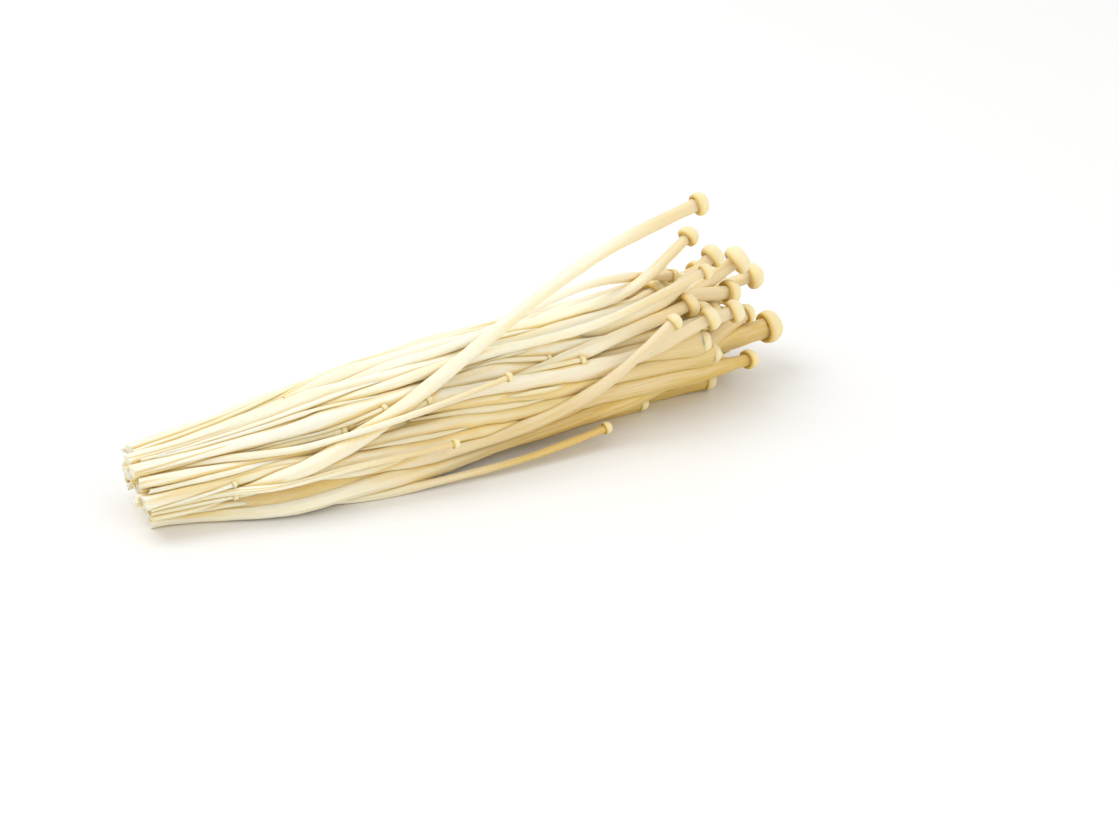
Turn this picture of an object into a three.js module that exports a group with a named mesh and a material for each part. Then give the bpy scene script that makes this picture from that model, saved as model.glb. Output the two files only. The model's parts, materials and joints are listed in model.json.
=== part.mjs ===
// One bunch of enoki mushrooms, cut from its root block and lying on its side.
// The slender mushrooms are packed side by side at the cut end, bulge a little at mid length, and part
// towards their caps. Each mushroom grew as one piece, so stem and cap are one solid.
// Millimetres, +Z up. +X runs from the cut end to the caps; the bunch rests on the plane Z = 0.
import * as THREE from "three";

// ---------------------------------------------------------------- driving dimensions

const CUT_X = -71.5; // the cut end, in the middle of the bunch
const CUT_HEIGHT = 7; // height of that middle
const CUT_SLANT = 0.3; // the knife went through askew: X gained per millimetre of Y
const CUT_LEAN = 0.35; // X lost per millimetre of Z
const CUT_RAGGED = 1.3; // how far single stems stand out of the cut, or fall short of it
const CUT_SPARE = 8; // each stem is laid out this far past the cut, then trimmed

// The bunch's cross-section is an ellipse: [x, centre y, half width, centre z, half height]
const SECTIONS = [
  [-82, -0.5, 8.6, 6.6, 6.4],
  [-70, -0.5, 8.8, 6.8, 6.6],
  [-40, -2, 12.6, 9, 8.8],
  [0, 1, 13.5, 10.8, 10.6],
  [40, 6, 13.8, 10.4, 9],
  [80, 13, 14, 10, 8],
];

const PACKED_COUNT = 43; // mushrooms that make up the body of the bunch
const TIPS_X = { heart: 34, outside: 45, end: 69 }; // where their caps may start, and where they end
const LOW_TIPS_BACK = 18; // the lowest stems end this much sooner
const SEED = 8;

// [at the heart of the bunch, at its outside]
const BASE_RADIUS = [0.88, 0.78];
const STEM_RADIUS = [1.55, 1.25];
const CAP_RADIUS = [1.8, 2.8]; // [smallest, largest]

const CAP_HEIGHT = 1.25; // a cap's height over its radius
const CAP_CENTRE = 0.62; // the widest part of a cap, down from its top as a share of its height
const FLARE = 1.18; // the stem just under the cap, over the stem's radius
const SWELL_LENGTH = 45; // a stem reaches its full thickness this far from the cut

// Mushrooms that stand out of the bunch or lie over it, each on a route of its own.
// start: place in the cut end's unit circle. route: [x, y, z] along the stem, ending in the cap's middle.
// oval: the cap's width over its depth.
const LOOSE = [
  {
    name: "stray_long",
    start: [-0.86, -0.2],
    stem: 1.3,
    cap: 2.4,
    route: [
      [-45, -13, 9.5], [-25, -10.5, 14.5], [-4, -6, 24], [9, -2, 29],
      [19, 0, 34], [28, 1, 38], [40, 2, 41], [53, 3, 43.5],
    ],
  },
  {
    name: "stray_upright",
    start: [0.1, 0.9],
    stem: 1.15,
    cap: 2.3,
    route: [[-20, 3, 21], [5, 4, 22.5], [24, 3, 22], [35, 4, 23.5], [43, 6, 28], [53, 8, 35]],
  },
  {
    name: "stray_arched",
    start: [-0.15, 0.88],
    stem: 0.95,
    cap: 1.5,
    route: [[-20, 0, 21], [2, 0, 24], [14, 1, 28], [22, 2, 31], [32, 4, 31], [43, 6, 27], [50, 7, 23.5]],
  },
  {
    name: "nodding_cap",
    start: [0.35, 0.78],
    stem: 1.2,
    cap: 2.6,
    route: [[0, 7, 20], [30, 3, 19], [44, 1, 21.5], [51, 2, 26], [56, 5, 31.5]],
  },
  {
    name: "oval_cap",
    start: [0.45, 0.6],
    stem: 1.35,
    cap: 2.9,
    oval: 1.3,
    route: [[0, 9, 17], [40, 9, 16], [54, 9, 17], [61, 8.5, 21], [63.5, 7, 28]],
  },
  {
    name: "far_cap",
    start: [0.7, 0.45],
    stem: 1.3,
    cap: 2.8,
    route: [[0, 13, 16], [45, 15, 15], [60, 16, 15], [69, 15, 17.5], [72, 14, 21]],
  },
  {
    name: "small_upper_cap",
    start: [-0.35, 0.8],
    stem: 0.95,
    cap: 1.7,
    route: [[0, -4, 23], [20, -3, 22], [36, -2, 24.5], [46, -2, 28], [52, -2, 31]],
  },
  {
    name: "upper_end_cap",
    start: [-0.2, 0.45],
    stem: 1.3,
    cap: 2.5,
    route: [[0, -1, 17], [30, 0, 16], [46, 0, 16], [55, -1, 18], [58.5, -1, 22]],
  },
  {
    name: "round_cap",
    start: [-0.55, 0.5],
    stem: 1.2,
    cap: 2.5,
    route: [[0, -7, 16], [20, -5, 14], [35, -5, 14], [45, -5, 17.5], [51, -6, 22.5]],
  },
  {
    name: "small_side_cap",
    start: [-0.9, 0.15],
    stem: 1.05,
    cap: 1.7,
    route: [[-30, -11, 6], [0, -11, 7], [15, -10, 8], [28, -9.5, 13], [36, -9, 19], [41, -9, 24.5]],
  },
  {
    name: "broad_end_cap",
    start: [-0.5, -0.05],
    stem: 2,
    cap: 3.4,
    route: [[0, -2, 9], [30, 0, 9], [50, 3, 8.5], [64, 6, 8.5], [73, 7, 11]],
  },
  {
    name: "low_side_cap",
    start: [-0.6, -0.9],
    stem: 1.4,
    cap: 1.9,
    route: [[-50, -14, 1.5], [-38, -15, 1.5], [-22, -12, 2], [0, -8, 3], [30, -6, 6], [57, 3, 8]],
  },
  {
    name: "slim_upper",
    start: [-0.6, 0.75],
    base: 0.55,
    stem: 0.6,
    cap: 0.95,
    route: [[-50, -10, 12], [-30, -12, 14], [-14, -12, 17], [3, -10.5, 19.5]],
  },
  {
    name: "slim_middle",
    start: [-0.98, -0.1],
    base: 0.55,
    stem: 0.6,
    cap: 0.95,
    route: [[-50, -13, 8], [-27, -15, 9], [-11, -15.5, 9.8]],
  },
  {
    name: "slim_lower",
    start: [-0.8, -0.6],
    base: 0.6,
    stem: 0.8,
    cap: 1.25,
    route: [[-40, -13, 1.5], [-5, -14.5, 1.6], [9, -14, 1.8], [18, -12.5, 3], [24.5, -12, 4.5]],
  },
];

// How the bunch is settled: each stage's passes, how hard they pull the mushrooms home and straighten them
const STAGES = [
  { passes: 180, home: 1, straighten: 0.5 },
  { passes: 200, home: 0.2, straighten: 0.5 },
  { passes: 60, home: 0, straighten: 0.1 },
  { passes: 50, home: 0, straighten: 0 },
];
const NODE_SPACING = 8; // each mushroom is a chain of straight links this long
const GAP = 0.27; // clearance between neighbours
const PULL = { packed: 0.05, loose: 0.3 };
const STIFFNESS = { packed: 1, loose: 0.15 }; // packed mushrooms grew straight; loose ones keep their bends
const ROOT_PULL = { times: 4, until: -45 }; // the stems grew close together at the cut end
const HUDDLE = 0.82; // the mushrooms press in to this share of the cross-section
const NEARBY_LINKS = 3; // links further apart than this along their mushrooms never meet
const DRIFT = 0.12; // how far a packed mushroom wanders across the unit circle on its way to its cap
const TIP_PLACE = { shrink: 0.8, across: 0.2, up: 0.15 }; // where the packed caps gather in the unit circle

const SIDES = { packed: 6, loose: 7 };

const FLESH = new THREE.MeshStandardMaterial({ color: 0xf3e6c4, roughness: 0.5, metalness: 0 });

// ---------------------------------------------------------------- small helpers

// Seeded random numbers from 0 to 1, the same on every run
function randomSource(seed) {
  let state = seed;
  return () => {
    state = (state + 0x6d2b79f5) | 0;
    let mixed = Math.imul(state ^ (state >>> 15), 1 | state);
    mixed = (mixed + Math.imul(mixed ^ (mixed >>> 7), 61 | mixed)) ^ mixed;
    return ((mixed ^ (mixed >>> 14)) >>> 0) / 4294967296;
  };
}

const { clamp, lerp, smoothstep } = THREE.MathUtils;

// A place in the unit circle, moved to the bunch's cross-section at x
function inSection([across, up], x) {
  const found = SECTIONS.findIndex((row) => row[0] >= x);
  const next = found < 1 ? SECTIONS.length - 1 : found;
  const [low, high] = [SECTIONS[next - 1], SECTIONS[next]];
  const share = clamp((x - low[0]) / (high[0] - low[0]), 0, 1);
  const [, centreY, halfWidth, centreZ, halfHeight] = low.map((value, i) => lerp(value, high[i], share));
  return new THREE.Vector3(x, centreY + across * halfWidth * HUDDLE, centreZ + up * halfHeight * HUDDLE);
}

// ---------------------------------------------------------------- where each mushroom wants to be

// The body of the bunch: a sunflower pattern in the cut end, each mushroom drifting its own way
function packedMushrooms(random) {
  const goldenAngle = Math.PI * (3 - Math.sqrt(5));
  const list = [];
  for (let i = 0; i < PACKED_COUNT; i++) {
    const outward = Math.sqrt((i + 0.5) / PACKED_COUNT);
    const start = [outward * Math.cos(i * goldenAngle), outward * Math.sin(i * goldenAngle)];
    const turn = random() * 2 * Math.PI;
    const tip = [
      start[0] * TIP_PLACE.shrink + TIP_PLACE.across + DRIFT * Math.cos(turn),
      start[1] * TIP_PLACE.shrink + TIP_PLACE.up + DRIFT * Math.sin(turn),
    ];
    const reach = Math.max(1, Math.hypot(...tip) / 1.1);
    const firstTip = lerp(TIPS_X.heart, TIPS_X.outside, outward);
    const tipX = lerp(firstTip, TIPS_X.end, random()) - LOW_TIPS_BACK * Math.max(0, -tip[1]);
    const count = Math.round((tipX - CUT_X + CUT_SPARE) / NODE_SPACING);
    const home = [];
    for (let k = 0; k <= count; k++) {
      const share = k / count;
      const place = start.map((value, axis) => lerp(value, tip[axis] / reach, smoothstep(share, 0.2, 1)));
      home.push(inSection(place, lerp(CUT_X - CUT_SPARE, tipX, share)));
    }
    list.push({
      name: `mushroom_${String(i + 1).padStart(2, "0")}`,
      home,
      pull: PULL.packed,
      stiffness: STIFFNESS.packed,
      sides: SIDES.packed,
      base: lerp(...BASE_RADIUS, outward),
      stem: lerp(...STEM_RADIUS, outward) * lerp(0.88, 1.12, random()),
      cap: lerp(...CAP_RADIUS, random() * clamp(0.5 + tip[1], 0, 1)),
      oval: lerp(1, 1.18, random()),
    });
  }
  return list;
}

// The mushrooms with a route of their own: from their place in the cut end, from point to point
function looseMushrooms() {
  return LOOSE.map(({ name, start, base = 0.78, stem, cap, oval = 1, route }) => {
    const points = [inSection(start, CUT_X - CUT_SPARE), inSection(start, CUT_X + 8)];
    for (const [x, y, z] of route) points.push(new THREE.Vector3(x, y, z));
    const curve = new THREE.CatmullRomCurve3(points);
    const home = curve.getSpacedPoints(Math.round(curve.getLength() / NODE_SPACING));
    const manner = { pull: PULL.loose, stiffness: STIFFNESS.loose, sides: SIDES.loose };
    return { name, home, ...manner, base, stem, cap, oval };
  });
}

// ---------------------------------------------------------------- settling the bunch

// Stem radius at x: thin at the cut, full along the stem
function stemRadius(mushroom, x) {
  return lerp(mushroom.base, mushroom.stem, smoothstep(x, CUT_X, CUT_X + SWELL_LENGTH));
}

// A mushroom as round links from node to node, and a ball for its cap
function layOut(mushroom) {
  mushroom.nodes = mushroom.home.map((place) => place.clone());
  mushroom.radii = mushroom.home.map((place) => stemRadius(mushroom, place.x));
  const last = mushroom.nodes.length - 1;
  mushroom.links = [];
  for (let k = 0; k < last; k++) mushroom.links.push({ from: k, to: k + 1 });
  mushroom.radii.push(mushroom.cap * mushroom.oval);
  mushroom.links.push({ from: last, to: last, isCap: true });
}

// Draws a mushroom towards its own route, and takes the kinks out of it, its cap's end included
function pullAndStraighten({ nodes, home, pull, stiffness }, stage) {
  const straighten = stage.straighten * stiffness;
  nodes.forEach((node, k) => {
    const rooted = 1 - smoothstep(node.x, CUT_X, ROOT_PULL.until);
    const strength = pull * stage.home * lerp(1, ROOT_PULL.times, rooted);
    node.lerp(home[k], Math.min(strength, 0.5));
  });
  const last = nodes.length - 1;
  for (let k = 1; k < last; k++) {
    const halfway = nodes[k - 1].clone().add(nodes[k + 1]).multiplyScalar(0.5);
    nodes[k].lerp(halfway, straighten);
  }
  const straightOn = nodes[last - 1].clone().multiplyScalar(2).sub(nodes[last - 2]);
  nodes[last].lerp(straightOn, straighten);
}

// Shares along the links p–q and r–s at which they come closest
function closestShares(p, q, r, s) {
  const [along, across, between] = [q.clone().sub(p), s.clone().sub(r), p.clone().sub(r)];
  const [a, e, f] = [along.lengthSq(), across.lengthSq(), across.dot(between)];
  if (a === 0 && e === 0) return [0, 0];
  if (a === 0) return [0, clamp(f / e, 0, 1)];
  const c = along.dot(between);
  if (e === 0) return [clamp(-c / a, 0, 1), 0];
  const b = along.dot(across);
  const spread = a * e - b * b;
  let first = spread > 1e-9 ? clamp((b * f - c * e) / spread, 0, 1) : 0.5;
  const second = clamp((b * first + f) / e, 0, 1);
  first = clamp((b * second - c) / a, 0, 1);
  return [first, second];
}

// Moves one link's nodes so that the point at the share shifts by the given amount
function shift({ nodes }, { from, to }, share, amount) {
  if (from === to) {
    nodes[from].add(amount);
    return;
  }
  const weight = share * share + (1 - share) * (1 - share);
  nodes[from].addScaledVector(amount, (1 - share) / weight);
  nodes[to].addScaledVector(amount, share / weight);
}

// Moves two mushrooms apart wherever two of their links are closer than they may be
function part(a, b) {
  const shareOfA = b.pull / (a.pull + b.pull);
  for (let i = 0; i < a.links.length; i++) {
    const linkA = a.links[i];
    const [p, q] = [a.nodes[linkA.from], a.nodes[linkA.to]];
    const capA = linkA.isCap ? a.radii.at(-1) : 0;
    const end = Math.min(b.links.length, i + NEARBY_LINKS + 1);
    for (let j = Math.max(0, i - NEARBY_LINKS); j < end; j++) {
      const linkB = b.links[j];
      const [r, s] = [b.nodes[linkB.from], b.nodes[linkB.to]];
      const capB = linkB.isCap ? b.radii.at(-1) : 0;
      if (Math.hypot(p.x - r.x, p.y - r.y, p.z - r.z) > 2 * NODE_SPACING + 4) continue;
      const [shareA, shareB] = closestShares(p, q, r, s);
      const radiusA = capA || lerp(a.radii[linkA.from], a.radii[linkA.to], shareA);
      const radiusB = capB || lerp(b.radii[linkB.from], b.radii[linkB.to], shareB);
      const away = p.clone().lerp(q, shareA).sub(r.clone().lerp(s, shareB));
      const missing = radiusA + radiusB + GAP - away.length();
      if (missing <= 0) continue;
      away.normalize();
      shift(a, linkA, shareA, away.clone().multiplyScalar(missing * shareOfA));
      shift(b, linkB, shareB, away.multiplyScalar(-missing * (1 - shareOfA)));
    }
  }
}

function liftOffFloor({ nodes, radii }) {
  nodes.forEach((node, k) => {
    node.z = Math.max(node.z, k === nodes.length - 1 ? radii.at(-1) : radii[k]);
  });
}

function settle(mushrooms) {
  for (const stage of STAGES) {
    for (let pass = 0; pass < stage.passes; pass++) {
      for (const mushroom of mushrooms) pullAndStraighten(mushroom, stage);
      for (let i = 0; i < mushrooms.length; i++) {
        for (let j = i + 1; j < mushrooms.length; j++) part(mushrooms[i], mushrooms[j]);
      }
      mushrooms.forEach(liftOffFloor);
    }
  }
}

// ---------------------------------------------------------------- one mushroom's solid

// Half outline of a straight mushroom: [radius, distance along it], from the cut to the top of the cap.
// The stem has one ring at the cut, one at each node past it and one under the cap.
function outline(mushroom, reach, cutAt) {
  const { nodes, radii, cap } = mushroom;
  const capHeight = cap * CAP_HEIGHT;
  const top = reach.at(-1) + capHeight * CAP_CENTRE;
  const stemEnd = top - capHeight * 0.8;
  const points = [new THREE.Vector2(0, cutAt), new THREE.Vector2(mushroom.base, cutAt)];
  nodes.forEach((_, k) => {
    if (reach[k] > cutAt + 2 && reach[k] < stemEnd - 1) points.push(new THREE.Vector2(radii[k], reach[k]));
  });
  points.push(new THREE.Vector2(mushroom.stem * FLARE, stemEnd));
  // under the cap, round its inrolled rim and over its dome: [share of the radius, share of the height down]
  for (const [wide, down] of [[0.86, 0.9], [1, CAP_CENTRE], [0.88, 0.27], [0.5, 0.05], [0, 0]]) {
    points.push(new THREE.Vector2(cap * wide, top - capHeight * down));
  }
  return points;
}

// Directions of a mushroom at its nodes, each halfway between its two links'; the cap's end stays straight
function directions(nodes) {
  const ways = nodes.slice(1).map((node, k) => node.clone().sub(nodes[k]).normalize());
  const last = ways.length - 1;
  return nodes.map((_, k) => {
    if (k >= last) return ways[last];
    return k === 0 ? ways[0] : ways[k - 1].clone().add(ways[k]).normalize();
  });
}

// Lays a straight lathed mushroom, whose axis is Y, along its chain of nodes
function bend(geometry, { nodes, oval }, reach, capFrom) {
  const ways = directions(nodes);
  const place = geometry.getAttribute("position");
  const up = new THREE.Vector3(0, 0, 1);
  for (let i = 0; i < place.count; i++) {
    const along = place.getY(i);
    const beyond = reach.findIndex((distance) => distance > along);
    const k = beyond === -1 ? nodes.length - 2 : Math.max(0, beyond - 1);
    const share = (along - reach[k]) / (reach[k + 1] - reach[k]);
    const centre = nodes[k].clone().lerp(nodes[k + 1], share);
    const way = ways[k].clone().lerp(ways[k + 1], clamp(share, 0, 1)).normalize();
    const side = new THREE.Vector3().crossVectors(way, up).normalize();
    const over = new THREE.Vector3().crossVectors(side, way);
    const widen = along > capFrom ? oval : 1;
    centre.addScaledVector(side, place.getX(i) * widen).addScaledVector(over, place.getZ(i));
    place.setXYZ(i, centre.x, centre.y, centre.z);
  }
  return geometry;
}

function mushroomMesh(mushroom, random) {
  const { nodes, cap } = mushroom;
  const reach = [0];
  for (let k = 1; k < nodes.length; k++) reach.push(reach[k - 1] + nodes[k].distanceTo(nodes[k - 1]));
  const rooted = nodes[1];
  const askew = CUT_SLANT * rooted.y - CUT_LEAN * (rooted.z - CUT_HEIGHT);
  const cutX = CUT_X + askew + CUT_RAGGED * (2 * random() - 1);
  const geometry = new THREE.LatheGeometry(outline(mushroom, reach, cutX - nodes[0].x), mushroom.sides);
  const capFrom = reach.at(-1) - cap * CAP_HEIGHT * (0.95 - CAP_CENTRE);
  const mesh = new THREE.Mesh(bend(geometry, mushroom, reach, capFrom), FLESH.clone());
  mesh.name = mushroom.name;
  return mesh;
}

// ---------------------------------------------------------------- the bunch

const random = randomSource(SEED);
const mushrooms = [...packedMushrooms(random), ...looseMushrooms()];
mushrooms.forEach(layOut);
settle(mushrooms);

const bunch = new THREE.Group();
bunch.name = "enoki_bunch";
for (const mushroom of mushrooms) bunch.add(mushroomMesh(mushroom, random));

// Origin: under the middle of the bunch, on the plane that it rests on
const box = new THREE.Box3().setFromObject(bunch);
const middle = box.getCenter(new THREE.Vector3());
bunch.position.set(-middle.x, -middle.y, -box.min.z);

export default bunch;
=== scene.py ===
# A bunch of enoki mushrooms lying on a white surface, in metres.
# The imported CAD model gives each mushroom's centre line, thickness and cap. This script grows the real
# surface round them: stems pressed flat against each other, furrows, flared tops, gills and rolled rims.
# It adds slim young mushrooms between the outer stems, and the fused tissue inside the bunch, painted
# golden as shade.
import json
import math

import bpy
import numpy as np
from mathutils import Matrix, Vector

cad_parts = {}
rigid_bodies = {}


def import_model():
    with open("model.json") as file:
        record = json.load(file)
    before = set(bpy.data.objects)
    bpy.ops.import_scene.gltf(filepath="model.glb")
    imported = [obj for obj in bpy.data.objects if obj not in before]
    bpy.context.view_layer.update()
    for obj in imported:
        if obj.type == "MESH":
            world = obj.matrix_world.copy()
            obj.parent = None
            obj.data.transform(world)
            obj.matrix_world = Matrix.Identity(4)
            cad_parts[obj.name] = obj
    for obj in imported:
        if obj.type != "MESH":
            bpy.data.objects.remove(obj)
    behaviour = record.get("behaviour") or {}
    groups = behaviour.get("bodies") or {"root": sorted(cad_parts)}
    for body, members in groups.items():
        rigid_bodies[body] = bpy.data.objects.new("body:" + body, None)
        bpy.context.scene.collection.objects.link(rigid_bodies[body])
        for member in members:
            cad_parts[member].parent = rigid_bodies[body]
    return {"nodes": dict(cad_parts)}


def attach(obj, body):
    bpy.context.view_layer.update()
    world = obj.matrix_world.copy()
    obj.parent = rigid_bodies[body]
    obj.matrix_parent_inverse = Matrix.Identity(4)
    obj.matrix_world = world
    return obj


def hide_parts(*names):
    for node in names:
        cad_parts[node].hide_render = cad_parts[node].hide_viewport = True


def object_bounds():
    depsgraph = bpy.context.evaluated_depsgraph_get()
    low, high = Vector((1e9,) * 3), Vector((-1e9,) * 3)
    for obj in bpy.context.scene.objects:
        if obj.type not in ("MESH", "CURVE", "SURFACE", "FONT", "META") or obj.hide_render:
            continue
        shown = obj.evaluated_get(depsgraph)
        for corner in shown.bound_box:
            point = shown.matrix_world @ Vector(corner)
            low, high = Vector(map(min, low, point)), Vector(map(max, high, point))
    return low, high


MM = 0.001
TURN = 2 * math.pi

# ---------------------------------------------------------------- settings

SEED = 7

# rings along a stem, and vertices round it
RING_STEP = 1.5 * MM
SIDES_PACKED = 30
SIDES_SHOWN = 40
SIDES_SLIM = 16

# Stems swell until they press on their neighbours: how much thicker than in the CAD model
SWELL_AT = [0, 0.2, 0.45, 0.7, 1]  # shares of the bunch's length
SWELL = [0.95, 0.68, 0.46, 0.34, 0.1]
SWELL_FUSED = 0.55  # low down at the cap end, where stems have grown into a broad band
UNDER_CAP = 30 * MM  # stems get painted golden shade over this length below their caps
FULLY_GOLDEN = 2 * MM  # and are fully shaded this near to them
CONTACT_GAP = 0.025 * MM
FLOOR_GAP = 0.01 * MM
GOLD_ALONG = (-50 * MM, 20 * MM)  # in the bunch's own X: where its golden part starts, and is full
GOLD_BELOW = (23 * MM, 4 * MM)  # and the same for its height
CONTACT_SHARPNESS = 18  # higher numbers make flatter contact faces with sharper edges
NEAR = 1.1 * MM  # a surface this close to its neighbour begins to get painted golden shade
CROWD_GAPS = (2.2 * MM, 0.6 * MM)  # a neighbour counts from the first gap, and fully from the second
FULL_CROWD = 3  # so many neighbours make a stem fully crowded

# Narrow furrows along the stems; depths are shares of the stem's radius
FURROWS_PACKED = 8
FURROWS_SHOWN = 3
FURROW_DEPTH = 0.05
FURROW_ROOTED = 0.17  # added to it near the cut
FURROW_WIDTH = 0.2  # radians
SLIM_FURROWS = 0.4  # their depth on slim mushrooms, over the others'

# The torn cut end of each stem: one wave round it, three smaller waves, and each vertex's own share
TORN = 0.3 * MM
TORN_FINE = 0.12 * MM
TORN_RAGGED = 0.05 * MM
# and the rings of the cut face: (share of its radius, how far forward along the stem)
CUT_RINGS = [(0.3, -0.05 * MM), (0.65, 0.02 * MM), (0.92, -0.12 * MM)]

# The cap's underside: (share of the way from the stem to the edge, share of the cap's height down)
GILL_RINGS = [(0.08, 0.86), (0.24, 0.895), (0.4, 0.925)]
RIM_RINGS = [(0.55, 0.935), (0.68, 0.92), (0.8, 0.885)]
# and its dome: (share of the cap's radius, share of its height down)
DOME_RINGS = [
    (0.93, 0.82), (0.98, 0.73), (1.0, 0.63), (0.985, 0.53), (0.94, 0.4), (0.87, 0.285), (0.765, 0.175),
    (0.63, 0.095), (0.47, 0.045), (0.29, 0.015), (0.12, 0.003),
]
CAP_HEIGHT = 1.25  # over its radius, as in the CAD model
CAP_CENTRE = 0.62  # its widest place, as a share of its height down
CAP_SIZES = [1 * MM, 2.4 * MM]  # radii
CAP_HEIGHTS = [1.6, 1.3]  # heights over those radii: small caps are rounder
CAP_BIGGER = 1.05  # than in the CAD model
FLARE = 0.1  # of the stem, under the cap
FLARE_LENGTH = 1.8  # over the stem's radius
WIDEST_STEM_TOP = 0.8  # over the cap's radius
GILLS = 13
GILL_DEPTH = 0.05

# Slim young mushrooms in the valleys between the outer ones
SLIM_RADIUS = (0.5 * MM, 0.85 * MM)
SLIM_THICKEST = 1.3 * MM
SLIM_WITHOUT_CAP = 0.6  # share of them
SLIM_SHORTEST = 16 * MM
SLIM_LONGEST = 75 * MM
SLIM_STEP = 3 * MM
SLIM_JUMP = 1.35 * SLIM_STEP  # two places further apart than this aren't in the same valley
SLIM_FROM = 4 * MM  # from the cut end
SLIM_TO = 24 * MM  # in the bunch's own X
SLIM_FROM_CUT = 14 * MM  # one that starts this near the cut end is carried back to it
SLIM_ROOT = 3 * MM  # from the cut end
SLIM_SINK = 0.12  # how far one without a cap sinks at its tip: a share of the way in, for each mm of radius
SLIM_FADE = 0.88  # how much of its thickness it loses there
SLIM_TONE = 0.4  # how white they can be, over the others
SLIM_SEEDS = 1000  # the first slim mushroom's number, clear of the others'
SLIM_PER_PIECE = 12
WIDEST_VALLEY = 3.2 * MM
LEAST_CROWD = 0.55  # they grow only between mushrooms at least this crowded

# The fused heart of the bunch, seen between the stems
HEART_SIDES = 120
HEART_STEP = 2 * MM
HEART_FROM = 3.5 * MM  # from the cut end
HEART_TO = 34 * MM  # in the bunch's own X
HEART_BRIDGE = 0.42  # radians that it spans from stem to stem
LOW_STRAND = "low_side_cap"  # it bows along the bottom, joined to the heart as far as this:
LOW_STRAND_JOINED = 5 * MM
STRAND_DEPTH = 0.2 * MM
STRAND_WAVES = (9, 17, 26, 33, 42)  # round the heart
HEART_DEPTH = 0.12  # how far it reaches past a stem's centre, over the stem's radius
HEART_ROUNDED = 12 * MM  # it narrows over this length at its far end
HEART_FLOOR = 0.4 * MM
HEART_TORN = 0.5 * MM
HEART_PAINTED_SHADE = 0.93  # how much painted golden shade it gets, as where stems press together
HEART_TONE = 0.2

STUDIO_LIGHT = 0.84  # brightness of the white surroundings
FLOOR_GREY = 0.88
FLOOR_SIZE = 6  # metres

CAMERA_AZIMUTH = -25
CAMERA_ELEVATION = 27
CAMERA_LENS = 85
CAMERA_PLACE = (19.5 * MM, -17.5 * MM, 545 * MM)  # right, up and back from the middle of the bunch

# ---------------------------------------------------------------- reading the CAD model


def smoothstep(low, high, x):
    share = np.clip((x - low) / (high - low), 0, 1)
    return share * share * (3 - 2 * share)


def unit(vectors):
    return vectors / np.linalg.norm(vectors, axis=-1, keepdims=True)


def even_out(rows):
    """Draws each row, except the first and the last, towards the rows beside it."""
    rows[1:-1] = (rows[:-2] + 2 * rows[1:-1] + rows[2:]) / 4


def rings_of(mesh):
    """The mesh's rings of vertices, in order from the cut end to the top of the cap."""
    places, welded = {}, []
    for vertex in mesh.vertices:
        key = tuple(round(c / (0.02 * MM)) for c in vertex.co)
        welded.append(places.setdefault(key, len(places)))
    points = np.zeros((len(places), 3))
    for vertex, index in zip(mesh.vertices, welded):
        points[index] = vertex.co
    joined = [set() for _ in range(len(points))]
    for edge in mesh.edges:
        a, b = (welded[i] for i in edge.vertices)
        joined[a].add(b)
        joined[b].add(a)

    def layers(start):
        found, seen = [[start]], {start}
        while True:
            front = sorted({n for v in found[-1] for n in joined[v]} - seen)
            if not front:
                return found
            found.append(front)
            seen.update(front)

    end = layers(0)[-1][0]
    other_end = layers(end)[-1][0]
    cut = end if points[end][0] < points[other_end][0] else other_end
    return [points[layer] for layer in layers(cut)]


def read_mushroom(name, node):
    """Centre line, stem thickness and cap of one CAD mushroom."""
    rings = rings_of(node.data)
    centres = np.array([ring.mean(0) for ring in rings])
    radii = np.array([np.linalg.norm(ring - ring.mean(0), axis=1).mean() for ring in rings])
    top, widest = centres[-1], centres[-4]
    cap_radius = np.linalg.norm(top - widest) / (CAP_HEIGHT * CAP_CENTRE)
    stem = slice(1, len(rings) - 5)
    return {
        "name": name,
        "line": centres[stem],
        "stem_radii": np.append(radii[stem][:-1], radii[stem][-2]),
        "cap_centre": widest,
        "cap_axis": unit(top - widest),
        "cap_radius": cap_radius * CAP_BIGGER,
        "oval": max(1.0, radii[-4] / cap_radius * 2 - 1),
        "packed": name.startswith("mushroom_"),
        "slim": False,
        "sides": SIDES_PACKED if name.startswith("mushroom_") else SIDES_SHOWN,
    }


# ---------------------------------------------------------------- lines and frames along them


def natural_spline(knots, points):
    """Second derivatives of the smoothest curve through the points."""
    n = len(knots)
    step = np.diff(knots)
    matrix, right = np.eye(n), np.zeros((n, points.shape[1]))
    for i in range(1, n - 1):
        matrix[i, i - 1:i + 2] = step[i - 1], 2 * (step[i - 1] + step[i]), step[i]
        rise = (points[i + 1] - points[i]) / step[i] - (points[i] - points[i - 1]) / step[i - 1]
        right[i] = 6 * rise
    return np.linalg.solve(matrix, right)


def along_spline(knots, points, at):
    bent = natural_spline(knots, points)
    k = np.clip(np.searchsorted(knots, at) - 1, 0, len(knots) - 2)
    width = (knots[k + 1] - knots[k])[:, None]
    low = (knots[k + 1] - at)[:, None] / width
    high = 1 - low
    sag = ((low**3 - low) * bent[k] + (high**3 - high) * bent[k + 1]) * width**2 / 6
    return low * points[k] + high * points[k + 1] + sag


def frames_along(line):
    """Directions along, across and over a line, turning as little as they can."""
    ways = unit(np.gradient(line, axis=0))
    across = np.zeros_like(ways)
    across[0] = unit(np.cross(ways[0], (0, 0, 1)))
    for i in range(1, len(line)):
        across[i] = unit(across[i - 1] - ways[i] * (across[i - 1] @ ways[i]))
    return ways, across, np.cross(across, ways)


def stem_steps(length, cap_radius):
    """Distances of the rings along a stem: even, and closer together under the cap."""
    near_cap = min(3.2 * cap_radius, length * 0.4)
    even = np.linspace(0, length - near_cap, max(3, round((length - near_cap) / RING_STEP)))
    close = np.linspace(length - near_cap, length, 12)[1:]
    return np.concatenate([even, close])


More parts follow.
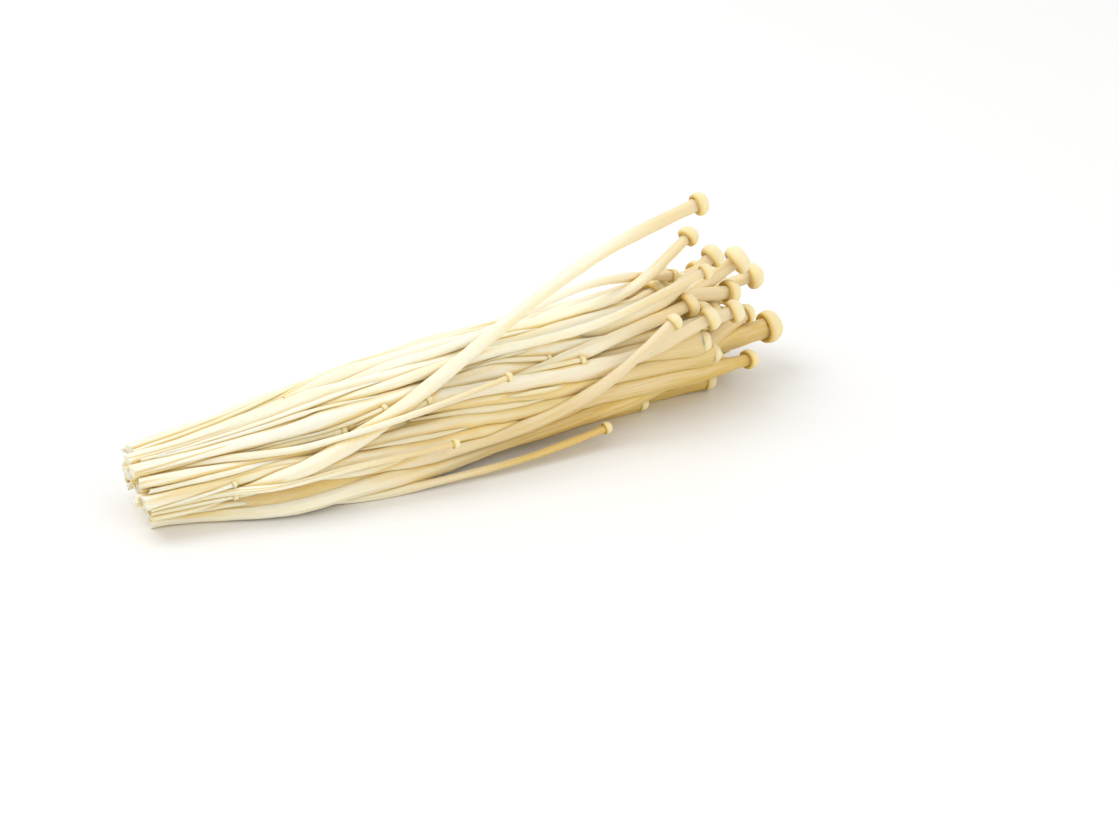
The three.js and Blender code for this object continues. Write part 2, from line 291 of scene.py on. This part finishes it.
def lay_out(mushroom):
    """Puts the mushroom's rings on a smooth line and gives each its plain radius."""
    coarse = mushroom["line"]
    knots = np.concatenate([[0], np.cumsum(np.linalg.norm(np.diff(coarse, axis=0), axis=1))])
    at = stem_steps(knots[-1], mushroom["cap_radius"])
    mushroom["at"] = at
    mushroom["centres"] = along_spline(knots, coarse, at)
    mushroom["frame"] = frames_along(mushroom["centres"])
    mushroom["plain"] = np.interp(at, knots, mushroom["stem_radii"])
    mushroom["length"] = knots[-1]


# ---------------------------------------------------------------- stems that press on each other


def slow_wave(at, wavelength, phase):
    return np.sin(TURN * (at / wavelength + phase))


def samples_of(mushroom, radii):
    """Balls that stand for a mushroom when its neighbours feel for it: along the stem, and in the cap."""
    places = np.vstack([mushroom["centres"], mushroom["cap_centre"]])
    return places, np.append(radii, mushroom["cap_radius"])


def feel_crowd(mushroom, others):
    """How closely packed the mushroom is at each ring: 0 where it is free, 1 inside the bunch."""
    count = np.zeros(len(mushroom["at"]))
    for places, radii in others:
        gap = np.linalg.norm(mushroom["centres"][:, None] - places[None], axis=2) - radii[None]
        count += smoothstep(*CROWD_GAPS, gap.min(1) - mushroom["plain"])
    crowd = np.clip(count / FULL_CROWD, 0, 1)
    return np.convolve(np.pad(crowd, 3, mode="edge"), np.ones(7) / 7, mode="valid")


def gold_places(points):
    """1 low down near the caps, where the bunch is most golden, falling to 0 on top and towards the cut.
    The gold painted there is partly the bunch's own tint and partly painted shade.
    """
    return smoothstep(*GOLD_ALONG, points[:, 0]) * smoothstep(*GOLD_BELOW, points[:, 2])


def swell(mushroom, box_low, box_high):
    """Thickness wanted at each ring, before the neighbours are felt."""
    share = (mushroom["centres"][:, 0] - box_low[0]) / (box_high[0] - box_low[0])
    more = np.interp(share, SWELL_AT, SWELL)
    at, own = mushroom["at"], mushroom["random"]
    more = more + SWELL_FUSED * gold_places(mushroom["centres"])
    uneven = 0.6 + 0.6 * own.random() + 0.3 * slow_wave(at, 45 * MM, own.random())
    uneven += (1 - uneven) * smoothstep(0.12, 0.0, share)
    lumpy = 1 + 0.05 * slow_wave(at, 19 * MM, own.random()) + 0.02 * slow_wave(at, 7 * MM, own.random())
    return mushroom["plain"] * (1 + more * uneven * mushroom["crowd"]) * lumpy


def furrows(mushroom, theta):
    """Depth of the furrows along a stem. Near the cut it looks like several strands grown together."""
    own = mushroom["random"]
    at = mushroom["at"][:, None]
    rooted = smoothstep(75 * MM, 20 * MM, at)
    depth = np.zeros_like(theta)
    for _ in range(FURROWS_PACKED if mushroom["packed"] else FURROWS_SHOWN):
        place = own.random() * TURN + 0.5 * slow_wave(at, (60 + 40 * own.random()) * MM, own.random())
        away = np.angle(np.exp(1j * (theta - place)))
        reach = smoothstep(-0.7, 0.5, slow_wave(at, (50 + 60 * own.random()) * MM, own.random()))
        groove = np.exp(-(away / FURROW_WIDTH) ** 2)
        depth = np.maximum(depth, (FURROW_DEPTH + FURROW_ROOTED * rooted) * reach * groove)
    return depth


def press(mushroom, others, angles):
    """Distance from the centre line to the surface at each ring and angle, with contacts pressed flat."""
    ways, across, over = mushroom["frame"]
    wanted, own = mushroom["wanted"], mushroom["random"]
    at = mushroom["at"][:, None]
    turn = own.random() * TURN + at / (60 * MM) * (own.random() - 0.5) * 3
    theta = angles[None] + turn
    shape = 1 + mushroom["flat"] * np.cos(2 * theta) + 0.035 * np.cos(3 * theta + own.random() * TURN)
    shape += 0.018 * np.cos(5 * theta + 2 * turn) + 0.01 * np.cos(7 * theta - turn)
    mushroom["furrow"] = furrows(mushroom, theta) * (SLIM_FURROWS if mushroom["slim"] else 1)
    shape -= mushroom["furrow"]
    free = wanted[:, None] * shape
    rays = np.cos(angles)[None, :, None] * across[:, None] + np.sin(angles)[None, :, None] * over[:, None]
    mushroom["rays"] = rays
    limit = np.full(free.shape, 1.0)
    for places, radii in others:
        apart = places[None] - mushroom["centres"][:, None]
        nearest = ((apart**2).sum(2) - radii[None] ** 2).argmin(1)
        toward = apart[np.arange(len(nearest)), nearest]
        slip = (toward * ways).sum(1)
        reach = radii[nearest] ** 2 - slip**2
        toward = toward - ways * slip[:, None]
        facing = (rays * toward[:, None]).sum(2)
        meet = (((toward**2).sum(1) + wanted**2 - reach) / 2)[:, None] / np.maximum(facing, 1e-9)
        meet = np.maximum(meet - CONTACT_GAP, 0.25 * wanted[:, None])
        limit = np.minimum(limit, np.where(facing > 1e-9, meet, 1.0))
    downward = -rays[:, :, 2]
    floor = mushroom["centres"][:, 2][:, None] / np.maximum(downward, 1e-6)
    limit = np.minimum(limit, np.where(downward > 0.05, floor, 1.0))
    pressed = free * (1 + (free / limit) ** CONTACT_SHARPNESS) ** (-1 / CONTACT_SHARPNESS)
    # 1 where a neighbour touches the surface, down to 0 where it is free; it sets the painted shade between
    # stems
    mushroom["near"] = smoothstep(NEAR, 0.0, limit - pressed)
    return pressed


# ---------------------------------------------------------------- slim young mushrooms


def at_plane(mushroom, x):
    """Centre, radius and crowding of a mushroom where it crosses the plane at x, or None."""
    line = mushroom["centres"]
    if not line[0, 0] < x < line[-1, 0]:
        return None
    k = int(np.searchsorted(line[:, 0], x))
    k = min(max(k, 1), len(line) - 1)
    share = (x - line[k - 1, 0]) / max(line[k, 0] - line[k - 1, 0], 1e-9)
    centre = line[k - 1] + (line[k] - line[k - 1]) * share
    return centre, mushroom["wanted"][k], mushroom["crowd"][k]


def valley(a, b, rest, middle, radius):
    """Where a slim stem would lie in the valley between two neighbours and how thick it is, or None."""
    (centre_a, radius_a, crowd_a), (centre_b, radius_b, crowd_b) = a, b
    if min(crowd_a, crowd_b) < LEAST_CROWD:
        return None
    between = centre_b - centre_a
    distance = math.hypot(between[1], between[2])
    if distance > radius_a + radius_b + WIDEST_VALLEY:
        return None
    halfway = (centre_a + centre_b) / 2
    outward = np.array([0, -between[2], between[1]]) / distance
    if outward @ (halfway - middle) < 0:
        outward = -outward
    radius = max(radius, min((distance - radius_a - radius_b) * 0.5, SLIM_THICKEST))
    rest_on = (radius_a + radius_b) / 2 + radius * 0.5
    place = halfway + outward * math.sqrt(max(rest_on**2 - (distance / 2) ** 2, (0.3 * MM) ** 2))
    if place[2] < radius:
        return None
    for centre, other_radius, _ in rest:
        if math.hypot(*(place - centre)[1:]) < other_radius + radius * 0.5:
            return None
    return np.append(place, radius)


def follows(run, place):
    """Whether a place goes on from the run's last one without a jump."""
    return not run or np.linalg.norm((place - run[-1])[:3]) < SLIM_JUMP


def valley_runs(crossings, middles, random):
    """Runs of places along valleys that two outer mushrooms leave open for long enough."""
    found = []
    count = len(crossings[0])
    for a in range(count):
        for b in range(a + 1, count):
            radius = random.uniform(*SLIM_RADIUS)
            run = []
            for k, row in enumerate(crossings + [None]):
                place = None
                if row and row[a] and row[b]:
                    rest = [c for i, c in enumerate(row) if c and i not in (a, b)]
                    place = valley(row[a], row[b], rest, middles[k], radius)
                if place is not None and follows(run, place):
                    run.append(place)
                    continue
                if len(run) * SLIM_STEP > SLIM_SHORTEST:
                    found.append(np.array(run))
                run = [] if place is None else [place]
    return found


def slim_mushroom(run, middle_at, random, cut_x):
    """One slim mushroom along part of a valley, or along all of it from the cut end."""
    from_cut = run[0, 0] < cut_x + SLIM_FROM_CUT
    longest = int(SLIM_LONGEST / SLIM_STEP * random.uniform(0.4, 1))
    spare = max(0, len(run) - longest)
    first = 0 if from_cut else random.integers(0, spare + 1)
    smooth = run[first:first + longest].copy()
    for _ in range(3):
        even_out(smooth)
    if from_cut:
        root = smooth[0] + (smooth[0] - smooth[1]) * (smooth[0, 0] - cut_x - SLIM_ROOT) / SLIM_STEP
        root[2:] = max(root[2], smooth[0, 3]), smooth[0, 3]
        smooth = np.vstack([root, smooth])
    line, thickness = smooth[:, :3], smooth[:, 3]
    share = np.linspace(0, 1, len(line))
    if not from_cut:
        thickness = thickness * (smoothstep(0, 0.3, share) * 0.75 + 0.25)
    # some end in a small cap, the others thin out between their neighbours
    cap_radius = thickness[-1] * random.uniform(1.3, 1.6)
    if random.random() < SLIM_WITHOUT_CAP or thickness[-1] > SLIM_RADIUS[1]:
        fading = smoothstep(0.45, 1, share)
        line = line + (middle_at(line) - line) * (fading * thickness * SLIM_SINK / MM)[:, None]
        thickness = thickness * (1 - SLIM_FADE * fading)
        cap_radius = thickness[-1] * 1.1
    way = unit(line[-1] - line[-2])
    return {
        "line": line,
        "stem_radii": thickness,
        "cap_centre": line[-1] + way * cap_radius * 0.25,
        "cap_axis": way,
        "cap_radius": cap_radius,
        "oval": 1.0,
        "packed": False,
        "slim": True,
        "sides": SIDES_SLIM,
    }


def slim_mushrooms(mushrooms, random, box_low):
    """Slim mushrooms in the open valleys of the bunch."""
    xs = np.arange(box_low[0] + SLIM_FROM, SLIM_TO, SLIM_STEP)
    crossings = [[at_plane(mushroom, x) for mushroom in mushrooms] for x in xs]
    middles = [np.mean([c[0] for c in row if c], axis=0) for row in crossings]

    def middle_at(line):
        """The bunch's own middle beside each point of a line."""
        beside = np.array(line)
        for axis in (1, 2):
            beside[:, axis] = np.interp(line[:, 0], xs, [middle[axis] for middle in middles])
        return beside

    runs = valley_runs(crossings, middles, random)
    return [slim_mushroom(run, middle_at, random, box_low[0]) for run in runs]


# ---------------------------------------------------------------- the heart of the bunch


def heart_rings(mushrooms, random, box_low):
    """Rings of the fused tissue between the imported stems, as deep as the centres of the outer ones."""
    angles = np.arange(HEART_SIDES) / HEART_SIDES * TURN
    xs = np.arange(box_low[0] + HEART_FROM, HEART_TO, HEART_STEP)
    middles, reaches = [], []
    for x in xs:
        crossing = []
        for mushroom in mushrooms:
            found = at_plane(mushroom, x)
            if found and (mushroom["packed"] or mushroom["name"] == LOW_STRAND and x < LOW_STRAND_JOINED):
                crossing.append(found)
        middle = np.mean([centre for centre, _, _ in crossing], axis=0)
        reach = np.zeros(HEART_SIDES)
        for centre, radius, _ in crossing:
            away = centre - middle
            distance = math.hypot(away[1], away[2])
            turned = np.angle(np.exp(1j * (angles - math.atan2(away[2], away[1]))))
            bridge = np.exp(-(turned / HEART_BRIDGE) ** 2)
            reach = np.maximum(reach, (distance + HEART_DEPTH * radius) * bridge)
        middles.append(middle)
        reaches.append(reach)
    middles, reaches = np.array(middles), np.array(reaches)
    for _ in range(4):
        even_out(middles)
        even_out(reaches)
        reaches = (np.roll(reaches, 1, 1) + 2 * reaches + np.roll(reaches, -1, 1)) / 4
    strands = np.zeros_like(reaches)
    for wave in STRAND_WAVES:
        sway = 0.8 * slow_wave(xs[:, None], 70 * MM, random.random()) + random.random() * TURN
        strands += np.cos(wave * angles[None] + sway)
    reaches = reaches + strands * STRAND_DEPTH
    reaches *= np.sqrt(np.clip((HEART_TO - xs) / HEART_ROUNDED, 0.02, 1))[:, None]
    outward = np.stack([np.zeros(HEART_SIDES), np.cos(angles), np.sin(angles)], axis=1)
    rings = middles[:, None] + outward[None] * reaches[:, :, None]
    rings[:, :, 2] = np.maximum(rings[:, :, 2], HEART_FLOOR)
    torn = HEART_TORN * sum(np.sin(wave * angles + random.random() * TURN) for wave in (2, 5, 9, 14)) / 2
    rings[0, :, 0] += torn
    inner = [middles[0] + (rings[0] - middles[0]) * share for share in (0.3, 0.7)]
    return [*inner, *rings], middles[0], middles[-1] + np.array([0.5 * MM, 0, 0])


def grow_heart(mushrooms, random, box_low):
    """The heart's surface, and the values its material reads."""
    rings, low_pole, high_pole = heart_rings(mushrooms, random, box_low)
    points, faces, uvs = skin(rings, low_pole, high_pole)
    middle = np.median(points, axis=0)
    along = (points[:, 0] - box_low[0]) / MM
    grain = np.stack([(points[:, 1] - middle[1]) / MM, (points[:, 2] - middle[2]) / MM, along], axis=1)
    flat = np.ones(len(points))
    strand = np.concatenate([flat[:1], np.tile(np.arange(HEART_SIDES), len(rings)), flat[:1]])
    values = {
        "from_cut": along,
        "near": flat * HEART_PAINTED_SHADE,
        # painted golden shade in the grooves between its strands
        "furrow": 0.11 + 0.06 * np.sin(strand * 1.9) + 0.04 * np.sin(strand * 0.83),
        "cap_part": flat * 0,
        "under_cap": flat * 0,
        "grain": grain,
        "gold": gold_places(points),
        "tone": flat * HEART_TONE,
    }
    return points, faces, uvs, values


# ---------------------------------------------------------------- meshes


def cap_rings(mushroom, angles, stem_top):
    """The rings from the gills round the rolled rim and over the dome, and the top of the cap."""
    axis = mushroom["cap_axis"]
    across = mushroom["frame"][1][-1]
    across = unit(across - axis * (across @ axis))
    over = np.cross(across, axis)
    radius, own = mushroom["cap_radius"], mushroom["random"]
    height = radius * np.interp(radius, CAP_SIZES, CAP_HEIGHTS)
    phase = own.random(3) * TURN
    lobes = 1 + 0.025 * np.cos(2 * angles + phase[0]) + 0.018 * np.cos(3 * angles + phase[1])
    lobes += 0.008 * np.cos(7 * angles + phase[2])
    lean = 0.1 * (own.random(2) - 0.5)
    rows = [(stem_top + (radius - stem_top) * share, down, 1) for share, down in GILL_RINGS]
    rows += [(stem_top + (radius - stem_top) * share, down, 0) for share, down in RIM_RINGS]
    rows += [(radius * share, down, 0) for share, down in DOME_RINGS]
    rings = []
    for out, down, is_gill in rows:
        fold = is_gill * GILL_DEPTH * radius * np.abs(np.sin(GILLS * angles / 2))
        up = height * (CAP_CENTRE - down) + fold + 0.02 * radius * np.cos(2 * angles + phase[1])
        centre = mushroom["cap_centre"] + radius * (1 - down) * (lean[0] * across + lean[1] * over)
        side = np.cos(angles) * out * lobes * mushroom["oval"]
        rise = np.sin(angles) * out * lobes
        rings.append(centre + side[:, None] * across + rise[:, None] * over + up[:, None] * axis)
    lean_top = radius * (lean[0] * across + lean[1] * over)
    return rings, mushroom["cap_centre"] + axis * height * CAP_CENTRE + lean_top


def skin(rings, low_pole, high_pole):
    """Points, faces and UVs of a closed surface over rings of vertices."""
    count, sides = len(rings), len(rings[0])
    points = np.vstack([low_pole[None], *rings, high_pole[None]])
    gaps = [np.linalg.norm(b.mean(0) - a.mean(0)) + 0.2 * MM for a, b in zip(rings, rings[1:])]
    v = 0.02 + 0.96 * np.concatenate([[0], np.cumsum(gaps)]) / sum(gaps)
    faces, uvs = [], []
    last, end = count * sides + 1, 1 + (count - 1) * sides
    for j in range(sides):
        k = (j + 1) % sides
        left, right = j / sides, (j + 1) / sides
        faces.append((0, 1 + k, 1 + j))
        uvs.append([((left + right) / 2, 0.0), (right, v[0]), (left, v[0])])
        for i in range(count - 1):
            base, above = 1 + i * sides, 1 + (i + 1) * sides
            faces.append((base + j, base + k, above + k, above + j))
            uvs.append([(left, v[i]), (right, v[i]), (right, v[i + 1]), (left, v[i + 1])])
        faces.append((end + j, end + k, last))
        uvs.append([(left, v[-1]), (right, v[-1]), ((left + right) / 2, 1.0)])
    return points, faces, uvs


def grow(mushroom, others):
    """One mushroom's surface, from its cut end to the top of its cap, and the values its material reads."""
    sides = mushroom["sides"]
    angles = np.arange(sides) / sides * TURN
    ways = mushroom["frame"][0]
    own, at, length = mushroom["random"], mushroom["at"], mushroom["length"]
    pressed = press(mushroom, others, angles)
    flare = 1 + FLARE * np.exp(-(length - at) / (FLARE_LENGTH * mushroom["wanted"][-1]))
    pressed = pressed * flare[:, None]
    rays, centres = mushroom["rays"], mushroom["centres"]
    surface = centres[:, None] + rays * pressed[:, :, None]
    # the cut end: a little torn, each stem in its own way
    torn = TORN * np.sin(angles + own.random() * TURN)
    torn += TORN_FINE * np.sin(3 * angles + own.random() * TURN)
    torn += TORN_RAGGED * own.standard_normal(sides)
    surface[0] += ways[0] * torn[:, None]
    ends = []
    for share, forward in CUT_RINGS:
        outward = rays[0] * (pressed[0] * share)[:, None]
        ends.append(centres[0] + outward + ways[0] * (torn * share + forward)[:, None])
    stem_top = min(pressed[-1].mean(), WIDEST_STEM_TOP * mushroom["cap_radius"])
    dome, top = cap_rings(mushroom, angles, stem_top)
    rings = [*ends, *surface, *dome]
    points, faces, uvs = skin(rings, centres[0], top)
    points[:, 2] = np.maximum(points[:, 2], FLOOR_GAP)

    stem, cut, cap = len(at), len(ends), len(dome)

    def per_ring(along, at_cap, top_value):
        """A value for each vertex from one for each ring, with 0 on the cut face."""
        spread = [np.broadcast_to(np.reshape(values, (-1, 1)), (rows, sides))
                  for values, rows in ((0, cut), (along, stem), (at_cap, cap))]
        return np.concatenate([[0], *[s.ravel() for s in spread], [top_value]])

    def on_stem(values):
        """The stem's values, with 0 on the cut face and the cap."""
        return np.concatenate([np.zeros(1 + cut * sides), values.ravel(), np.zeros(cap * sides + 1)])

    from_cut = per_ring(at, length, length) / MM
    cap_part = per_ring(0, np.linspace(0.05, 1, cap), 1)
    # painted golden shade on the stem below its cap, except on slim mushrooms
    golden_top = smoothstep(UNDER_CAP, FULLY_GOLDEN, length - at) * (not mushroom["slim"])
    under_cap = per_ring(golden_top, 1, 1)
    around = np.tile(angles, len(rings))
    width = np.concatenate([np.linalg.norm(ring - ring.mean(0), axis=1) for ring in rings]) / MM
    grain = np.stack([np.cos(around) * width, np.sin(around) * width, from_cut[1:-1]], axis=1)
    grain = np.vstack([[0, 0, 0], grain, [0, 0, from_cut[-1]]]) + own.random(3) * 200
    values = {
        "from_cut": from_cut,
        "near": on_stem(mushroom["near"]),
        "furrow": on_stem(mushroom["furrow"]),
        "cap_part": cap_part,
        "under_cap": under_cap,
        "grain": grain,
        "gold": gold_places(points),
        "tone": np.full(len(points), own.random() * (SLIM_TONE if mushroom["slim"] else 1)),
    }
    return points, faces, uvs, values


def make_piece(name, grown, material):
    """A piece from one or more grown mushrooms, side by side in one UV map."""
    points = np.vstack([part[0] for part in grown])
    faces, uvs = [], []
    offset = 0
    for index, (part_points, part_faces, part_uvs, _) in enumerate(grown):
        faces += [tuple(offset + v for v in face) for face in part_faces]
        for corners in part_uvs:
            uvs += [((index + 0.02 + 0.96 * u) / len(grown), v) for u, v in corners]
        offset += len(part_points)
    mesh = bpy.data.meshes.new(name)
    mesh.from_pydata(points.tolist(), [], faces)
    mesh.polygons.foreach_set("use_smooth", [True] * len(faces))
    layer = mesh.uv_layers.new(name="OFBake")
    layer.data.foreach_set("uv", np.array(uvs, np.float32).ravel())
    for key in grown[0][3]:
        array = np.concatenate([part[3][key] for part in grown])
        is_vector = array.ndim == 2
        attribute = mesh.attributes.new(key, "FLOAT_VECTOR" if is_vector else "FLOAT", "POINT")
        attribute.data.foreach_set("vector" if is_vector else "value", array.astype(np.float32).ravel())
    mesh.materials.append(material)
    piece = bpy.data.objects.new(name, mesh)
    bpy.context.scene.collection.objects.link(piece)
    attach(piece, "root")
    return piece


# ---------------------------------------------------------------- material


class Nodes:
    """Short names for the shader nodes that the flesh uses."""

    def __init__(self, material):
        material.use_nodes = True
        self.tree = material.node_tree
        self.shader = self.tree.nodes["Principled BSDF"]

    def new(self, kind):
        return self.tree.nodes.new(kind)

    def feed(self, value, socket):
        if isinstance(value, bpy.types.NodeSocket):
            self.tree.links.new(value, socket)
        else:
            socket.default_value = (*value, 1) if isinstance(value, tuple) else value

    def attribute(self, name, output="Fac"):
        node = self.new("ShaderNodeAttribute")
        node.attribute_name = name
        return node.outputs[output]

    def noise(self, place, stretch, detail=3.0, rough=0.55):
        mapping = self.new("ShaderNodeMapping")
        mapping.inputs["Scale"].default_value = stretch
        self.feed(place, mapping.inputs["Vector"])
        texture = self.new("ShaderNodeTexNoise")
        texture.inputs["Scale"].default_value = 1
        texture.inputs["Detail"].default_value = detail
        texture.inputs["Roughness"].default_value = rough
        self.feed(mapping.outputs["Vector"], texture.inputs["Vector"])
        return texture.outputs["Fac"]

    def ramp(self, value, low, high, to_low=0.0, to_high=1.0):
        node = self.new("ShaderNodeMapRange")
        node.interpolation_type = "SMOOTHSTEP"
        for key, number in (("From Min", low), ("From Max", high), ("To Min", to_low), ("To Max", to_high)):
            node.inputs[key].default_value = number
        self.feed(value, node.inputs["Value"])
        return node.outputs["Result"]

    def math(self, kind, a, b):
        node = self.new("ShaderNodeMath")
        node.operation = kind
        self.feed(a, node.inputs[0])
        self.feed(b, node.inputs[1])
        return node.outputs["Value"]

    def blend(self, share, a, b):
        node = self.new("ShaderNodeMix")
        node.data_type = "RGBA"
        colours = [socket for socket in node.inputs if socket.type == "RGBA"]
        self.feed(share, node.inputs["Factor"])
        self.feed(a, colours[0])
        self.feed(b, colours[1])
        return [socket for socket in node.outputs if socket.type == "RGBA"][0]


WHITE_FLESH = (0.96, 0.93, 0.82)
CREAM = (0.94, 0.87, 0.66)
YELLOW_CREAM = (0.92, 0.81, 0.52)
GOLD = (0.84, 0.64, 0.25)
DEEP_GOLD = (0.82, 0.6, 0.22)
# partly the bunch's own golden tint, and painted shade below the caps and on the gills
GOLD_TINT_AND_SHADE = (0.68, 0.45, 0.07)
CAP_CREAM = (0.88, 0.73, 0.38)


def flesh_material():
    material = bpy.data.materials.new("enoki_flesh")
    n = Nodes(material)
    grain = n.attribute("grain", "Vector")
    tone = n.attribute("tone")
    from_cut = n.attribute("from_cut")
    cap_part = n.attribute("cap_part")

    streaks = n.noise(grain, (1.6, 1.6, 0.045))
    fibres = n.noise(grain, (7.0, 7.0, 0.2), detail=4)
    patches = n.noise(grain, (0.3, 0.3, 0.03))
    pores = n.noise(grain, (3.2, 3.2, 3.2), detail=5, rough=0.65)

    colour = n.blend(tone, CREAM, WHITE_FLESH)
    colour = n.blend(n.ramp(streaks, 0.42, 0.66, 0, 0.7), colour, WHITE_FLESH)
    colour = n.blend(n.ramp(patches, 0.5, 0.72, 0, 0.75), colour, YELLOW_CREAM)
    # golden low down at the cap end: partly the bunch's own tint, partly painted shade
    low_tint_and_shade = n.math("MULTIPLY", n.attribute("gold"), n.ramp(streaks, 0.3, 0.7, 0.95, 0.65))
    colour = n.blend(low_tint_and_shade, colour, GOLD_TINT_AND_SHADE)
    # painted golden shade on the stems below the caps
    colour = n.blend(n.math("MULTIPLY", n.attribute("under_cap"), 0.4), colour, GOLD_TINT_AND_SHADE)
    # painted golden shade in the furrows and where stems press on each other
    colour = n.blend(n.ramp(n.attribute("furrow"), 0.06, 0.2, 0, 0.8), colour, GOLD)
    near = n.attribute("near")
    touching = n.math("MULTIPLY", n.ramp(near, 0.1, 0.9, 0, 0.7), n.ramp(streaks, 0.3, 0.7, 1, 0.5))
    colour = n.blend(touching, colour, GOLD)
    colour = n.blend(n.ramp(near, 0.75, 1, 0, 0.55), colour, DEEP_GOLD)
    # brownish fibres and stains near the cut
    near_cut = n.ramp(from_cut, 48, 4)
    colour = n.blend(n.math("MULTIPLY", near_cut, n.ramp(fibres, 0.5, 0.72, 0, 0.4)), colour, GOLD)
    stains = n.math("MULTIPLY", n.ramp(from_cut, 26, 2), n.ramp(patches, 0.5, 0.66, 0, 0.55))
    colour = n.blend(stains, colour, DEEP_GOLD)
    # caps: pale domes with painted golden shade toward the rims, and painted shade on the gills under them
    dome = n.ramp(cap_part, 0.3, 0.45)
    under = n.math("MULTIPLY", n.ramp(cap_part, 0.0, 0.05), n.ramp(cap_part, 0.5, 0.3))
    colour = n.blend(n.math("MULTIPLY", dome, 0.7), colour, CREAM)
    colour = n.blend(n.math("MULTIPLY", dome, n.ramp(cap_part, 0.42, 0.72, 0.85, 0.3)), colour, CAP_CREAM)
    colour = n.blend(n.math("MULTIPLY", under, 0.85), colour, GOLD_TINT_AND_SHADE)
    colour = n.blend(n.ramp(pores, 0.58, 0.75, 0, 0.25), colour, YELLOW_CREAM)
    n.feed(colour, n.shader.inputs["Base Color"])
    n.feed(n.ramp(streaks, 0.25, 0.75, 0.4, 0.62), n.shader.inputs["Roughness"])

    n.shader.subsurface_method = "RANDOM_WALK"
    n.feed(0.5, n.shader.inputs["Subsurface Weight"])
    n.shader.inputs["Subsurface Radius"].default_value = (1.0, 0.8, 0.5)
    n.feed(1.2 * MM, n.shader.inputs["Subsurface Scale"])
    n.feed(0.3, n.shader.inputs["Specular IOR Level"])

    bump = n.new("ShaderNodeBump")
    bump.inputs["Strength"].default_value = 0.55
    bump.inputs["Distance"].default_value = 0.14 * MM
    relief = n.math("ADD", fibres, streaks)
    relief = n.math("ADD", relief, n.math("MULTIPLY", pores, 0.5))
    n.feed(relief, bump.inputs["Height"])
    n.feed(bump.outputs["Normal"], n.shader.inputs["Normal"])
    return material


def floor_material():
    material = bpy.data.materials.new("white_surface")
    n = Nodes(material)
    n.feed((FLOOR_GREY,) * 3, n.shader.inputs["Base Color"])
    n.feed(0.35, n.shader.inputs["Roughness"])
    n.feed(0.3, n.shader.inputs["Specular IOR Level"])
    return material


# ---------------------------------------------------------------- the bunch

for thing in list(bpy.data.objects):
    bpy.data.objects.remove(thing)
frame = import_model()
cad_low, cad_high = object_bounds()
box_low, box_high = np.array(cad_low), np.array(cad_high)


def prepare(mushroom, index):
    mushroom["random"] = np.random.default_rng([SEED, index])
    mushroom["flat"] = 0.05 + 0.08 * mushroom["random"].random()
    lay_out(mushroom)


mushrooms = [read_mushroom(name, node) for name, node in sorted(frame["nodes"].items())]
for index, mushroom in enumerate(mushrooms):
    prepare(mushroom, index)
plain = [samples_of(mushroom, mushroom["plain"]) for mushroom in mushrooms]
for index, mushroom in enumerate(mushrooms):
    mushroom["crowd"] = feel_crowd(mushroom, plain[:index] + plain[index + 1:])
    mushroom["wanted"] = swell(mushroom, box_low, box_high)

slim = slim_mushrooms(mushrooms, np.random.default_rng(SEED), box_low)
for index, mushroom in enumerate(slim):
    prepare(mushroom, SLIM_SEEDS + index)
    mushroom["wanted"] = mushroom["plain"] * (1 + 0.05 * slow_wave(mushroom["at"], 9 * MM, index / 7))

everything = mushrooms + slim
swollen = [samples_of(mushroom, mushroom["wanted"]) for mushroom in everything]
grown = [grow(mushroom, swollen[:index] + swollen[index + 1:]) for index, mushroom in enumerate(everything)]

flesh = flesh_material()
for mushroom, surface in zip(mushrooms, grown):
    piece = make_piece(mushroom["name"] + "_skin", [surface], flesh)
    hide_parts(mushroom["name"])
slim_grown = grown[len(mushrooms):]
for first in range(0, len(slim_grown), SLIM_PER_PIECE):
    number = first // SLIM_PER_PIECE + 1
    make_piece(f"slim_mushrooms_{number}", slim_grown[first:first + SLIM_PER_PIECE], flesh)

make_piece("heart", [grow_heart(mushrooms, np.random.default_rng(SEED), box_low)], flesh)

# ---------------------------------------------------------------- floor, light and camera

bpy.ops.mesh.primitive_plane_add(size=FLOOR_SIZE)
floor = bpy.context.object
floor.name = "floor"
floor.data.materials.append(floor_material())

world = bpy.data.worlds.new("studio")
bpy.context.scene.world = world
world.use_nodes = True
world.node_tree.nodes["Background"].inputs["Color"].default_value = (1, 1, 1, 1)
world.node_tree.nodes["Background"].inputs["Strength"].default_value = STUDIO_LIGHT


def soft_light(name, place, size, power, colour=(1, 1, 1)):
    data = bpy.data.lights.new(name, "AREA")
    data.shape = "DISK"
    data.size = size
    data.energy = power
    data.color = colour
    light = bpy.data.objects.new(name, data)
    bpy.context.scene.collection.objects.link(light)
    light.location = place
    light.rotation_mode = "QUATERNION"
    light.rotation_quaternion = Vector(place).to_track_quat("Z", "Y")


soft_light("key_light", (-0.35, 0.35, 0.85), 0.7, 3.8)
soft_light("fill_light", (0.4, -0.8, 0.4), 0.9, 2.0, (1.0, 0.94, 0.78))

azimuth, elevation = math.radians(CAMERA_AZIMUTH), math.radians(CAMERA_ELEVATION)
back = Vector((math.sin(azimuth) * math.cos(elevation), -math.cos(azimuth) * math.cos(elevation),
               math.sin(elevation)))
right = Vector((math.cos(azimuth), math.sin(azimuth), 0))
up = back.cross(right)
middle = (cad_low + cad_high) / 2
camera_data = bpy.data.cameras.new("camera")
camera_data.lens = CAMERA_LENS
camera_data.clip_start, camera_data.clip_end = 0.01, 20
camera = bpy.data.objects.new("camera", camera_data)
bpy.context.scene.collection.objects.link(camera)
camera.location = middle + right * CAMERA_PLACE[0] + up * CAMERA_PLACE[1] + back * CAMERA_PLACE[2]
camera.rotation_mode = "QUATERNION"
camera.rotation_quaternion = back.to_track_quat("Z", "Y")
bpy.context.scene.camera = camera

bpy.context.scene.view_settings.view_transform = "Standard"
